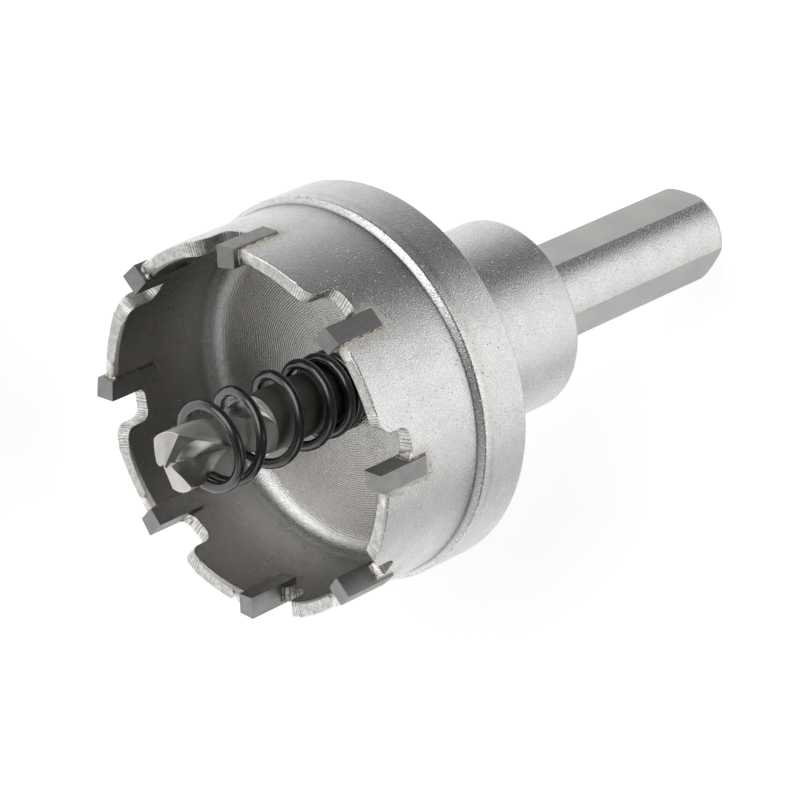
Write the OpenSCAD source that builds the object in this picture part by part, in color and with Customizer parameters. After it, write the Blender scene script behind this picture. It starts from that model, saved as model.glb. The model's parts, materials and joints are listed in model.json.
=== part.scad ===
// Carbide-tipped hole saw with a pilot drill and an ejector spring, lying on a bench.
// Every piece is drawn in the tool's own frame: Z runs back along the axis from the flange's
// front edge to the shank, and angles go round that axis. lie_down() then lays it to rest.

/* [Cup] */
// Diameter of the hole that the carbide tips cut
cut_d = 38; // [34:0.5:50]
// Outer diameter of the cup's wall
cup_d = 37.5; // [33:0.5:49]
// Thickness of the cup's wall
cup_wall = 1.6; // [1.2:0.1:2]
// Distance from the flange's front edge to the cutting edges
tip_reach = 13.8; // [12:0.1:25]
// How far the steel rim lies behind the cutting edges
rim_drop = 1; // [0.6:0.1:1.2]
// Width of the chamfer on the rim's inner edge
inner_chamfer = 0.35; // [0.1:0.05:0.5]
// Width of the chamfer on the rim's outer edge
outer_chamfer = 0.2; // [0.1:0.05:0.4]
// Radius of the round corner between the wall and the web inside
web_round = 1.3; // [0.5:0.1:2]
// Distance from the flange's front edge back to the web's inner face
web_z = 0.9; // [0:0.1:2]

/* [Flange, hub and shank] */
// Diameter of the stop flange
flange_d = 38.9; // [38.5:0.1:60]
// Length of the stop flange
flange_l = 5.7; // [4:0.1:8]
// Length of the slope that leads from the wall up to the flange
flange_slope = 0.55; // [0.3:0.05:1]
// Diameter of the hub
hub_d = 19.8; // [18:0.1:24]
// Distance from the flange's front edge to the back of the hub
hub_z = 24.35; // [22:0.05:30]
// Diameter of the shank
shank_d = 10; // [8:0.5:13]
// Distance from the axis to each of the shank's three flats
flat_r = 4.4; // [4:0.05:6]
// Distance from the flange's front edge to the end of the shank
shank_z = 53.2; // [45:0.1:70]
// Radius of the round edge at the shank's end
shank_round = 1; // [0.5:0.1:1.5]

/* [Carbide tips] */
// Number of carbide tips
tip_count = 8; // [4:1:8]
// Width of a tip, measured round the cup
tip_w = 1.95; // [1.5:0.05:2.5]
// Length of a tip along the axis
tip_l = 6.15; // [5.5:0.05:7]
// How far a tip stands inside the wall at its cutting face
tip_inside = 0.4; // [0.1:0.05:0.6]
// Slope of a tip's end, falling back from the cutting edge, in degrees
end_relief = 8; // [4:1:12]
// Thickness of the braze between a tip and its slot
braze_t = 0.12; // [0.08:0.01:0.2]

/* [Gullets] */
// Width of a gullet in front of a tip
gullet_w = 3.35; // [2.5:0.05:4]
// Depth of a gullet behind the cutting edges
gullet_l = 4.6; // [3.5:0.1:5]
// Radius of the gullet's inner corners
gullet_r = 1.1; // [0.5:0.1:1.2]
// Radius of the shoulder between the gullet and the land
shoulder_r = 1.3; // [0.8:0.1:1.5]
// Length of the land that slopes gently from the rim
land_l = 4.2; // [2:0.1:5]
// How far that land falls
land_fall = 0.1; // [0.05:0.05:0.3]
// Length of the steeper facet between that land and the shoulder
facet_l = 1.1; // [0.5:0.1:1.5]
// How far that facet falls
facet_fall = 0.17; // [0.1:0.01:0.3]

/* [Pilot drill] */
// Diameter of the pilot drill
drill_d = 6; // [5:0.5:6.5]
// Distance from the flange's front edge to the drill's outer corners
drill_reach = 22; // [20:0.5:30]
// Distance from the flange's front edge to the end of the flutes
flute_end = 11; // [8:0.5:14]
// Included angle of the drill's point
point_angle = 135; // [118:1:140]
// Thickness of the drill's web between its flutes
drill_web = 1.5; // [1:0.1:2]
// Lead of the flutes
flute_lead = 32; // [25:1:45]
// Depth of the bore in the hub that holds the drill
bore_z = 18; // [14:0.5:20]

/* [Ejector spring] */
// Wire diameter
wire_d = 1.05; // [0.8:0.05:1.3]
// Distance from the flange's front edge to the spring's ground front end
spring_reach = 17.75; // [15:0.05:20]
// Outer diameter of the spring at its front end
spring_d = 9.2; // [8.5:0.1:10]

/* [Grub screw] */
// Thread diameter
screw_d = 5; // [4:1:6]
// Length
screw_l = 6; // [4:0.5:7]
// Distance from the flange's front edge to the screw
screw_z = 14.5; // [10:0.5:17]
// Depth of the flat that it bears on
drill_flat = 0.5; // [0.3:0.1:0.8]

/* [Hidden] */
$fn = 96;
eps = 0.01;

cup_r = cup_d / 2;
bore_r = cup_r - cup_wall;
flange_r = flange_d / 2;
shank_r = shank_d / 2;
rim_z = rim_drop - tip_reach;
edge_break = 0.15;
hub_round = 0.4;

// The tips' cutting faces lie on the side that leads when the saw turns
tip_step = 360 / tip_count;
first_tip = 4.4;
tip_out = sqrt(pow(cut_d / 2, 2) - pow(tip_w / 2, 2));
tip_in = bore_r - tip_inside;
tip_in_relief = 0.16;

// The middles of the shank's flats, and the round neck between them and the hub
flat_angles = [97.5, 217.5, 337.5];
flat_gap = 0.5;

drill_r = drill_d / 2;
land_r = drill_r - 0.02;
drill_fit = 0.02;
drill_corner = 43;
twist_rate = 360 / flute_lead;
flute_fade = 3.2;
land_arc = 72;
heel_arc = 52;
lip_relief = 10;
heel_relief = 32;

screw_angle = 275;
socket_af = 2.5;

// Spring: [turns from its base, distance along the axis from its base], then smoothed
spring_law = [[-1, 0], [0, 0], [1, 1.07], [2, 2.5], [3, 5.6], [4, 10.3], [5, 15.7], [5.45, 17.6], [7, 17.75]];
spring_turns = 6.2;
turn_steps = 26;
wire_sides = 10;
spring_start = 243;
spring_smooth = 0.22;
// Share of the wire that is left behind the ground end faces, from its middle
ground_share = 0.42;

// Lying down: the lower flat's end and the flange's back edge touch the bench
down_angle = 337.5;
flange_touch_z = flange_l - edge_break;
flat_end_z = shank_z - shank_round
    + sqrt(pow(shank_round, 2) - pow(shank_round - (shank_r - flat_r), 2));
nose_lift = atan((flange_r - flat_r) / (flat_end_z - flange_touch_z));
rest_h = flange_touch_z * sin(nose_lift) + flange_r * cos(nose_lift);
drill_tip_z = -drill_reach - drill_r / tan(point_angle / 2) + 0.14;
front_x = drill_tip_z * cos(nose_lift);
back_x = (shank_z - shank_round) * cos(nose_lift)
    + (shank_r - shank_round) * sin(nose_lift) + shank_round;

module lie_down() {
    translate([-(front_x + back_x) / 2, 0, rest_h])
        rotate([0, 90 + nose_lift, 0])
            rotate([0, 0, -down_angle])
                children();
}

// Turned profile: half of the body's outline, with X as the radius and Y along the axis
module body_profile() {
    difference() {
        union() {
            translate([0, rim_z]) square([cup_r, web_z - rim_z]);
            polygon([
                [0, -flange_slope], [cup_r, -flange_slope], [flange_r, 0],
                [flange_r, flange_l - edge_break], [flange_r - edge_break, flange_l], [0, flange_l]
            ]);
            square([hub_d / 2 - hub_round, hub_z]);
            square([hub_d / 2, hub_z - hub_round]);
            translate([hub_d / 2 - hub_round, hub_z - hub_round]) circle(hub_round, $fn = 24);
            square([shank_r - shank_round, shank_z]);
            square([shank_r, shank_z - shank_round]);
            translate([shank_r - shank_round, shank_z - shank_round]) circle(shank_round, $fn = 32);
        }
        translate([0, rim_z - eps]) square([bore_r - web_round, web_z - rim_z + eps]);
        translate([0, rim_z - eps]) square([bore_r, web_z - web_round - rim_z + eps]);
        translate([bore_r - web_round, web_z - web_round]) circle(web_round, $fn = 32);
        translate([-shank_d, rim_z]) square([shank_d, shank_z - rim_z]);
        corner_cut(bore_r, inner_chamfer);
        corner_cut(cup_r, -outer_chamfer);
    }
}

// What a chamfer takes off the rim's edge at radius r: outwards from it, or inwards if negative
module corner_cut(r, chamfer) {
    wide = abs(chamfer);
    polygon([
        [r + 2 * chamfer, rim_z - wide], [r - chamfer, rim_z - wide], [r - chamfer, rim_z + 2 * wide]
    ]);
}

// Outline that is milled away in front of a tip, with X round the cup from the tip's middle
// and Y back from the cutting edges
module gullet_outline() {
    face = -tip_w / 2;
    wall = face - gullet_w;
    crest = rim_drop + land_fall + facet_fall;
    facet_x = wall - shoulder_r - facet_l;
    translate([wall, -1]) square([gullet_w, gullet_l - gullet_r + 1]);
    translate([wall + gullet_r, 0]) square([gullet_w - 2 * gullet_r, gullet_l]);
    for (x = [wall + gullet_r, face - gullet_r])
        translate([x, gullet_l - gullet_r]) circle(gullet_r, $fn = 32);
    difference() {
        translate([wall - shoulder_r, -1]) square([shoulder_r + eps, crest + shoulder_r + 1]);
        translate([wall - shoulder_r, crest + shoulder_r]) circle(shoulder_r, $fn = 48);
    }
    polygon([
        [facet_x - 1.5 * land_l, rim_drop - land_fall / 2], [facet_x, rim_drop + land_fall],
        [wall - shoulder_r, crest], [wall - shoulder_r, -1], [facet_x - 1.5 * land_l, -1]
    ]);
}

// Turns to tip k, with X out through the tip and Y round the cup
module at_tip(k) {
    rotate([0, 0, first_tip + (k - 1) * tip_step]) children();
}

// A drawing with X round the cup and Y back from the cutting edges, pushed out through the wall
module through_wall() {
    translate([bore_r - 3, 0, -tip_reach])
        rotate([90, 0, 90])
            linear_extrude(height = cut_d / 2 - bore_r + 5)
                children();
}

module tip_slot() {
    translate([bore_r - 3, -tip_w / 2 - braze_t, -tip_reach - 1])
        cube([cut_d / 2 - bore_r + 5, tip_w + 2 * braze_t, tip_l + braze_t + 1]);
}

module flat_cut(angle) {
    rotate([0, 0, angle])
        translate([flat_r, -shank_r, hub_z + flat_gap])
            cube([shank_r, shank_d, shank_z - hub_z]);
}

module saw_body() {
    color("silver")
        lie_down()
            difference() {
                rotate_extrude() body_profile();
                for (k = [1 : tip_count])
                    at_tip(k) {
                        through_wall() gullet_outline();
                        tip_slot();
                    }
                for (angle = flat_angles) flat_cut(angle);
                translate([0, 0, web_z - 1])
                    cylinder(r = drill_r + drill_fit, h = bore_z - web_z + 1);
                translate([0, 0, bore_z])
                    cylinder(r1 = drill_r + drill_fit, r2 = 0, h = 1.8);
                translate([0, 0, screw_z])
                    rotate([0, 90, screw_angle])
                        cylinder(d = screw_d, h = hub_d);
            }
}

// Tip with its cutting face leading, clear of the cut on its end and its inner side
module tip_blank() {
    end_drop = tip_w * tan(end_relief);
    half = tip_w / 2;
    difference() {
        translate([0, 0, -tip_reach])
            linear_extrude(height = tip_l)
                polygon([
                    [tip_in, -half], [tip_out, -half],
                    [tip_out, half], [tip_in + tip_in_relief, half]
                ]);
        translate([tip_in - 1, -half, -tip_reach])
            rotate([end_relief, 0, 0])
                translate([0, -1, -2])
                    cube([tip_out - tip_in + 2, tip_w + 2, 2]);
    }
}

module carbide_tip(k) {
    color("dimgray") lie_down() at_tip(k) tip_blank();
}

// Braze that fills the slot behind and below a tip, and in front of it below the gullet
module braze_seam(k) {
    wide = cup_wall + 2;
    open_l = gullet_l - gullet_r + sqrt(pow(gullet_r, 2) - pow(gullet_r - braze_t, 2));
    color("darkkhaki")
        lie_down()
            at_tip(k)
                difference() {
                    intersection() {
                        rotate([0, 0, -10])
                            rotate_extrude(angle = 20)
                                difference() {
                                    translate([bore_r, rim_z]) square([cup_wall, tip_l]);
                                    corner_cut(bore_r, inner_chamfer);
                                    corner_cut(cup_r, -outer_chamfer);
                                }
                        tip_slot();
                    }
                    translate([bore_r - 1, -tip_w / 2, -tip_reach - 1])
                        cube([wide, tip_w, tip_l + 1]);
                    translate([bore_r - 1, -tip_w / 2 - 1, -tip_reach - 1])
                        cube([wide, 1 + eps, open_l + 1]);
                }
}

// Radius of the fluted drill's section at angle a past a cutting corner, for a flute depth 0 to 1
function flute_r(a, depth) =
    let (
        web_r = drill_web / 2,
        t = min(1, (a - land_arc) / heel_arc),
        heel = land_r - (land_r - web_r) * sqrt(1 - pow(1 - t, 2)),
        lead = min(90, 180 - a + asin(web_r / land_r)),
        face = web_r / sin(lead)
    )
    a <= land_arc ? land_r : land_r - (land_r - min(land_r, max(heel, face))) * depth;

// Angles of the section's points: the land's few, then the flute's
flute_angles = concat(
    [for (i = [0 : 5]) i * land_arc / 5],
    [for (i = [1 : 14]) land_arc + i * (179.9 - land_arc) / 14]
);
section_angles = concat(flute_angles, [for (a = flute_angles) a + 180]);

function section_at(z) =
    let (depth = min(1, max(0, (-flute_end - z) / flute_fade)))
    [for (a = section_angles)
        let (
            r = flute_r(a % 180, sqrt(depth)),
            turn = drill_corner + a + (z + drill_reach) * twist_rate
        )
        [r * cos(turn), r * sin(turn), z]];

// Closed skin over rings of equal length
module skin(rings) {
    n = len(rings[0]);
    last = len(rings) - 1;
    points = [for (ring = rings) each ring];
    sides = [for (j = [0 : last - 1], i = [0 : n - 1])
        each [
            [j * n + i, (j + 1) * n + i, j * n + (i + 1) % n],
            [j * n + (i + 1) % n, (j + 1) * n + i, (j + 1) * n + (i + 1) % n]
        ]];
    front = [[for (i = [0 : n - 1]) i]];
    back = [[for (i = [n - 1 : -1 : 0]) last * n + i]];
    polyhedron(points = points, faces = concat(sides, front, back));
}

// Half space in front of a plane that rises by rise along the lip and by fall behind it
module point_cut(side, start, fall) {
    web_r = drill_web / 2;
    lip_turn = drill_corner + asin(web_r / drill_r) + side;
    lip_l = sqrt(pow(drill_r, 2) - pow(web_r, 2));
    rise = 1 / tan(point_angle / 2);
    slope = tan(fall);
    start_z = (start + web_r) * tan(lip_relief);
    rotate([0, 0, lip_turn])
        translate([lip_l, start, -drill_reach + start_z])
            rotate([0, atan(norm([rise, slope])), atan2(-slope, -rise)])
                translate([-20, -20, -20])
                    cube([40, 40, 20]);
}

module pilot_drill() {
    front_z = drill_tip_z - 1;
    back_z = 0.5 - flute_end;
    steps = 22;
    color("gray")
        lie_down() {
            difference() {
                skin([for (j = [0 : steps]) section_at(front_z + j * (back_z - front_z) / steps)]);
                for (side = [0, 180]) {
                    point_cut(side, -drill_web / 2, lip_relief);
                    point_cut(side, 0.35, heel_relief);
                }
            }
            difference() {
                translate([0, 0, -flute_end]) cylinder(r = drill_r, h = bore_z + flute_end);
                translate([0, 0, screw_z])
                    rotate([0, 0, screw_angle])
                        translate([drill_r - drill_flat, -drill_r, -screw_d / 2 - 0.5])
                            cube([drill_r, drill_d, screw_d + 1]);
            }
        }
}

function spring_rise(t) =
    (lookup(t - spring_smooth, spring_law) + 2 * lookup(t, spring_law)
        + lookup(t + spring_smooth, spring_law)) / 4;

function wire_ring(t) =
    let (
        base_r = drill_r + wire_d / 2 + 0.03,
        tip_r = (spring_d - wire_d) / 2,
        coil_r = base_r + (tip_r - base_r) * min(1, max(0, (t - 1) / 3)),
        inset = wire_d * ground_share,
        back_z = web_z - inset - spring_rise(t) * (web_z + spring_reach - 2 * inset) / 17.75,
        turn = spring_start + t * 360
    )
    [for (i = [0 : wire_sides - 1])
        let (
            a = -i * 360 / wire_sides,
            r = coil_r + wire_d / 2 * cos(a),
            z = back_z + wire_d / 2 * sin(a)
        )
        [r * cos(turn), r * sin(turn), min(web_z, max(-spring_reach, z))]];

module ejector_spring() {
    color("black")
        lie_down()
            skin([for (j = [0 : round(spring_turns * turn_steps)]) wire_ring(j / turn_steps)]);
}

module grub_screw() {
    point_h = 0.6;
    color("darkslategray")
        lie_down()
            translate([0, 0, screw_z])
                rotate([0, 90, screw_angle])
                    difference() {
                        union() {
                            translate([0, 0, drill_r - drill_flat])
                                cylinder(d1 = screw_d - 2 * point_h, d2 = screw_d, h = point_h);
                            translate([0, 0, drill_r - drill_flat + point_h])
                                cylinder(d = screw_d, h = screw_l - point_h);
                        }
                        translate([0, 0, drill_r - drill_flat + screw_l - socket_af])
                            cylinder(d = socket_af / cos(30), h = socket_af + 1, $fn = 6);
                    }
}

saw_body();
for (k = [1 : tip_count]) {
    carbide_tip(k);
    braze_seam(k);
}
pilot_drill();
ejector_spring();
grub_screw();
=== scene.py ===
"""Carbide-tipped hole saw with its pilot drill and ejector spring, lying on a pale floor."""

import json
import math

import bmesh
import bpy
from bpy.props import FloatProperty, FloatVectorProperty, IntProperty, PointerProperty
from mathutils import Matrix, Vector, noise


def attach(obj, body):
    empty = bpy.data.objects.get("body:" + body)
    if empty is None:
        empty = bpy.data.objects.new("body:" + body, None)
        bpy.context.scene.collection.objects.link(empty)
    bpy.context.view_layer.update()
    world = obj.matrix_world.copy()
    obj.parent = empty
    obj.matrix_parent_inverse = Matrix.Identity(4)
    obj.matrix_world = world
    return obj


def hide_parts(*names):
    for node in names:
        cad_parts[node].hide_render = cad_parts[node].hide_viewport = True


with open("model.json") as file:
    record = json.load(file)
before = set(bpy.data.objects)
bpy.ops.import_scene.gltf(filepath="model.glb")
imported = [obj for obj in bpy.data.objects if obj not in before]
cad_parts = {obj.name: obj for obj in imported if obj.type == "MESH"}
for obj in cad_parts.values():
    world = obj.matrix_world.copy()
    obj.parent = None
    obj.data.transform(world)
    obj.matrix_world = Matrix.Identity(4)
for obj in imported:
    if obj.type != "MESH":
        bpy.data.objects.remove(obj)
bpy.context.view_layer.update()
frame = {"nodes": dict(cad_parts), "record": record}

bl_info = {
    "name": "Hole saw",
    "version": (1, 0, 0),
    "blender": (4, 5, 0),
    "location": "3D View > Sidebar > Hole saw",
    "description": "Models and finishes a carbide-tipped hole saw, its pilot drill and its ejector spring",
    "category": "Object",
}

# Pieces are made in millimetres, along and round the tool's axis, and seat() puts them in the frame
MM = 1000.0
BODY_STEPS = 256
BORE_STEPS = 96
# Angle of the third shank flat round the axis
FLAT_3_ANGLE = math.radians(337.5)
# Where a cutter for the teeth starts inside the wall, how far it goes out, and how far other
# cutters stand clear of the steel at their open end
CUT_START = 3.0
CUT_THROUGH = 8.0
CLEAR = 2.0
# How much thinner the drill's fluted part is ground than its shank, in radius
BACK_CLEARANCE = 0.02
# Turns of the spring's wire and how far it has risen after them: closed coils at both ends
COIL_RISES = (
    (-1, 0), (0, 0), (1, 1.07), (2, 2.5), (3, 5.6), (4, 10.3), (5, 15.7), (5.45, 17.6), (7, 17.75))

# How much the floor glows where the camera, or a polished face near it, sees it
FLOOR_GLOW = 0.70
# The studio: how bright the room is, and its softboxes, each with its azimuth, its elevation,
# the angles from its middle where it starts and ends to fade, all in degrees, and its brightness
ROOM_LEVEL = 0.10
SOFTBOXES = (
    (-22, 27, 35, 42, 1.13),
    (137, 29, 25, 34, 1.85),
    (-131, 17, 14, 26, 0.58),
)
# Middle of the pool of light on the floor, and where it starts and ends to fade, in metres
POOL = (-0.035, -0.022, 0.0)
POOL_FADE = (0.045, 0.17)
# The photo's camera: its place in metres, its turn in degrees, and its lens in millimetres
CAMERA_PLACE = (-0.183473, 0.022612, 0.411223)
CAMERA_TURN = (6.1339, -23.5274, -23.5287)
CAMERA_LENS = 199.35
mounts = {mount["name"]: mount for mount in frame["record"]["mounts"]}


def length(default, name, description):
    """A length in metres that a user may change."""
    return FloatProperty(name=name, description=description, default=default, unit="LENGTH")


def degrees(default, name, description):
    """An angle that a user may change, with its default in degrees."""
    return FloatProperty(
        name=name, description=description, default=math.radians(default), subtype="ANGLE")


def tint(default, name, description):
    """A colour that a user may change."""
    return FloatVectorProperty(
        name=name, description=description, default=default, size=3, subtype="COLOR")


class CupSizes(bpy.types.PropertyGroup):
    """Sizes of the body, which is turned and milled from one bar."""

    cut_d: length(0.038, "Cutting diameter", "Diameter of the hole that the tips cut")
    cup_d: length(0.0375, "Cup diameter", "Outer diameter of the cup's wall")
    cup_wall: length(0.0016, "Wall", "Thickness of the cup's wall")
    tip_reach: length(0.0138, "Reach", "From the flange's front edge to the cutting edges")
    rim_drop: length(0.001, "Rim drop", "How far the steel rim lies behind the cutting edges")
    inner_chamfer: length(0.00035, "Inner chamfer", "Width of the chamfer on the rim's inner edge")
    outer_chamfer: length(0.0002, "Outer chamfer", "Width of the chamfer on the rim's outer edge")
    web_round: length(0.0021, "Web round", "Radius of the corner between the wall and the web")
    web_z: length(0.0009, "Web depth", "From the flange's front edge back to the web's inner face")
    flange_d: length(0.0389, "Flange diameter", "Diameter of the stop flange")
    flange_l: length(0.0057, "Flange length", "Length of the stop flange")
    flange_slope: length(0.00055, "Flange slope", "Length of the slope from the wall to the flange")
    flange_round: length(
        0.00035, "Flange round", "Radius that blasting leaves on the flange's front edge")
    hub_d: length(0.0198, "Hub diameter", "Diameter of the hub")
    hub_z: length(0.02435, "Hub end", "From the flange's front edge to the back of the hub")
    hub_round: length(0.0004, "Hub round", "Radius of the hub's back edge")
    shank_d: length(0.010, "Shank diameter", "Diameter of the shank")
    flat_r: length(0.0044, "Flats", "Distance from the axis to each of the three flats")
    flat_gap: length(0.0005, "Neck", "Length of the round neck between the hub and the flats")
    shank_z: length(0.0532, "Shank end", "From the flange's front edge to the end of the shank")
    shank_round: length(0.001, "Shank round", "Radius of the round edge at the shank's end")
    edge: length(0.0001, "Broken edge", "Width of the bevel that deburring leaves on every edge")
    bore_r: length(0.00302, "Bore radius", "Radius of the blind bore that holds the drill")
    bore_z: length(0.018, "Bore end", "Depth of that bore from the flange's front edge")
    bore_cone: length(0.0018, "Bore cone", "Depth of the cone that was drilled at its end")
    screw_r: length(0.0025, "Screw radius", "Radius of the tapped hole for the grub screw")


class ToothSizes(bpy.types.PropertyGroup):
    """Sizes of the carbide tips, of their slots and of the gullets in front of them."""

    count: IntProperty(name="Teeth", description="Number of carbide tips", default=8, min=4)
    first: degrees(4.4, "First tip", "Angle of the first tip round the axis")
    tip_w: length(0.00195, "Tip width", "Width of a tip, measured round the cup")
    tip_l: length(0.00615, "Tip length", "Length of a tip along the axis")
    tip_inside: length(0.0004, "Inner stand", "How far a tip stands inside the wall")
    tip_taper: length(0.00016, "Inner taper", "How much less a tip stands inside at its back")
    tip_edge: length(0.00004, "Tip edge", "Width of the bevel on a tip's edges")
    end_relief: degrees(8, "End relief", "Slope of a tip's end behind its cutting edge")
    braze_t: length(0.00012, "Braze", "Thickness of the braze between a tip and its slot")
    gullet_w: length(0.00335, "Gullet width", "Width of a gullet in front of a tip")
    gullet_l: length(0.0046, "Gullet depth", "Depth of a gullet behind the cutting edges")
    gullet_r: length(0.0011, "Gullet round", "Radius of the gullet's inner corners")
    shoulder_r: length(0.0013, "Shoulder round", "Radius of the shoulder between gullet and land")
    land_l: length(0.0042, "Land", "Length of the land that slopes gently from the rim")
    land_fall: length(0.0001, "Land fall", "How far that land falls")
    facet_l: length(0.0011, "Facet", "Length of the steeper facet between land and shoulder")
    facet_fall: length(0.00017, "Facet fall", "How far that facet falls")


class DrillSizes(bpy.types.PropertyGroup):
    """Sizes of the pilot drill."""

    drill_d: length(0.006, "Drill diameter", "Diameter of the pilot drill")
    reach: length(0.022, "Reach", "From the flange's front edge to the drill's outer corners")
    flute_end: length(0.011, "Flute end", "From the flange's front edge to the end of the flutes")
    flute_fade: length(0.0032, "Flute run-out", "Length over which the flutes get shallow")
    lead: length(0.032, "Lead", "Length in which a flute goes once round")
    web: length(0.0015, "Web", "Thickness left between the flutes")
    point: degrees(135, "Point angle", "Included angle of the point")
    lip_relief: degrees(10, "Lip relief", "Slope of the facet behind a lip")
    flank: degrees(48, "Flank", "Angle that a conical flank takes behind its lip")
    flank_fall: degrees(8, "Flank relief", "Slope of the conical flank behind its lip")
    gash_fall: degrees(48.5, "Gash", "Slope of the steep face that splits the point")
    split: length(0.00025, "Split", "How far the gash reaches past the axis")
    corner: degrees(43, "Corner", "Angle of the first outer corner round the axis")
    land: degrees(72, "Land", "Angle that the round land takes")
    heel: degrees(52, "Heel", "Angle over which the flute falls to the web")
    seat_depth: length(0.0005, "Seat depth", "Depth of the flat that the grub screw presses on")
    seat_l: length(0.006, "Seat length", "Length of that flat along the drill")


class SpringSizes(bpy.types.PropertyGroup):
    """Sizes of the ejector spring."""

    wire_d: length(0.00105, "Wire", "Diameter of the wire")
    reach: length(0.01775, "Reach", "From the flange's front edge to the ground front end")
    front_d: length(0.0092, "Front diameter", "Outer diameter at the front end")
    turns: FloatProperty(name="Turns", description="Number of turns", default=6.2, min=1)
    start: degrees(243, "Start", "Angle of the wire's back end round the axis")


class Finishes(bpy.types.PropertyGroup):
    """Colours of the finishes."""

    nickel: tint((0.67, 0.668, 0.66), "Nickel", "Blasted and nickel plated steel")
    milled: tint((0.66, 0.655, 0.63), "Milled steel", "Bright milled faces of the gullets")
    carbide: tint((0.31, 0.308, 0.303), "Carbide", "Ground sintered carbide")
    braze: tint((0.60, 0.53, 0.38), "Braze", "Silver braze with a yellow tarnish")
    tool_steel: tint((0.62, 0.605, 0.575), "Tool steel", "Ground flutes and point")
    black_wire: tint((0.012, 0.012, 0.014), "Black wire", "Blackened spring wire")
    floor: tint((0.90, 0.90, 0.90), "Floor", "Pale floor")


def mm(metres):
    return metres * MM


def tool_frame():
    """From millimetres round and along the tool's axis to metres in the frame."""
    axis = Vector(mounts["shank_end"]["axis"]).normalized()
    flat = Vector(mounts["shank_flat_3"]["axis"])
    flat = (flat - axis * flat.dot(axis)).normalized()
    across = Matrix.Rotation(-FLAT_3_ANGLE, 3, axis) @ flat
    end = Vector(mounts["shank_end"]["pos_m"])
    start = end - axis * bpy.context.scene.saw_cup.shank_z
    turn = Matrix((across, axis.cross(across), axis)).transposed().to_4x4()
    return Matrix.Translation(start) @ turn @ Matrix.Scale(1 / MM, 4)


def at_tip(index):
    """Turns X out through the tip of that number."""
    teeth = bpy.context.scene.saw_teeth
    return Matrix.Rotation(teeth.first + index * math.tau / teeth.count, 4, "Z")


def wall_radii(cup):
    """Inner and outer radius of the cup's wall."""
    outer = mm(cup.cup_d) / 2
    return outer - mm(cup.cup_wall), outer


def arc(centre, radius, start, end, steps):
    """Points of an arc, with its angles in degrees."""
    angles = [math.radians(start + (end - start) * i / steps) for i in range(steps + 1)]
    return [(centre[0] + radius * math.cos(a), centre[1] + radius * math.sin(a)) for a in angles]


def rectangle(near, far, half, z):
    """Corners of a rectangle at that height, from near to far along X and half to each side."""
    return [(near, -half, z), (far, -half, z), (far, half, z), (near, half, z)]


def verts_in(geom):
    return [part for part in geom if isinstance(part, bmesh.types.BMVert)]


def edges_in(geom):
    return [part for part in geom if isinstance(part, bmesh.types.BMEdge)]


def outline(bm, points, closed=True):
    """Draws an outline in the bmesh and returns its vertices and edges."""
    verts = [bm.verts.new(point) for point in points]
    pairs = list(zip(verts, verts[1:] + verts[:1] if closed else verts[1:]))
    return verts, [bm.edges.new(pair) for pair in pairs]


def prism(bm, points, push):
    """Extrudes the closed outline by the vector push."""
    verts, _ = outline(bm, points)
    face = bm.faces.new(verts)
    moved = verts_in(bmesh.ops.extrude_face_region(bm, geom=[face])["geom"])
    bmesh.ops.translate(bm, verts=moved, vec=push)
    bmesh.ops.recalc_face_normals(bm, faces=bm.faces[:])
    return verts + moved


def merge(bm, closest=1e-4):
    """Merges corners that lie together and turns all faces outwards."""
    bmesh.ops.remove_doubles(bm, verts=bm.verts[:], dist=closest)
    bmesh.ops.recalc_face_normals(bm, faces=bm.faces[:])


def turned(profile, steps):
    """Spins a profile of radii and heights once round the axis and closes it."""
    bm = bmesh.new()
    verts, edges = outline(bm, [(r, 0, z) for r, z in profile], closed=False)
    bmesh.ops.spin(
        bm, geom=verts + edges, cent=(0, 0, 0), axis=(0, 0, 1), dvec=(0, 0, 0),
        angle=math.tau, steps=steps, use_merge=True)
    merge(bm)
    return bm


def slice_off(bm, place, normal):
    """Cuts away what lies on the normal's side of a plane and closes the cut."""
    sliced = bmesh.ops.bisect_plane(
        bm, geom=bm.verts[:] + bm.edges[:] + bm.faces[:],
        plane_co=place, plane_no=normal, clear_outer=True)["geom_cut"]
    bmesh.ops.edgenet_fill(bm, edges=edges_in(sliced))
    bmesh.ops.recalc_face_normals(bm, faces=bm.faces[:])


def as_object(name, bm, finish):
    """Makes an object of the bmesh, still in millimetres round the tool's axis."""
    mesh = bpy.data.meshes.new(name)
    bm.to_mesh(mesh)
    bm.free()
    mesh.materials.append(finish)
    piece = bpy.data.objects.new(name, mesh)
    bpy.context.scene.collection.objects.link(piece)
    return piece


def refinish(node, finish):
    """Gives a node of the CAD model a new finish."""
    node.data.materials.clear()
    node.data.materials.append(finish)


def settle(piece):
    """Gives the piece the mesh that its modifiers make."""
    graph = bpy.context.evaluated_depsgraph_get()
    mesh = bpy.data.meshes.new_from_object(piece.evaluated_get(graph))
    old = piece.data
    piece.modifiers.clear()
    piece.data = mesh
    bpy.data.meshes.remove(old)


def cut(piece, cutter):
    """Takes the cutter's solid out of the piece and gives the new faces the cutter's finish."""
    modifier = piece.modifiers.new("cut", "BOOLEAN")
    modifier.operation = "DIFFERENCE"
    modifier.solver = "EXACT"
    modifier.material_mode = "TRANSFER"
    modifier.object = cutter
    settle(piece)
    mesh = cutter.data
    bpy.data.objects.remove(cutter)
    bpy.data.meshes.remove(mesh)


def join(piece, other):
    """Moves the other object's mesh into the piece."""
    bm = bmesh.new()
    bm.from_mesh(piece.data)
    bm.from_mesh(other.data)
    bm.to_mesh(piece.data)
    bm.free()
    bpy.data.objects.remove(other)


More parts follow.
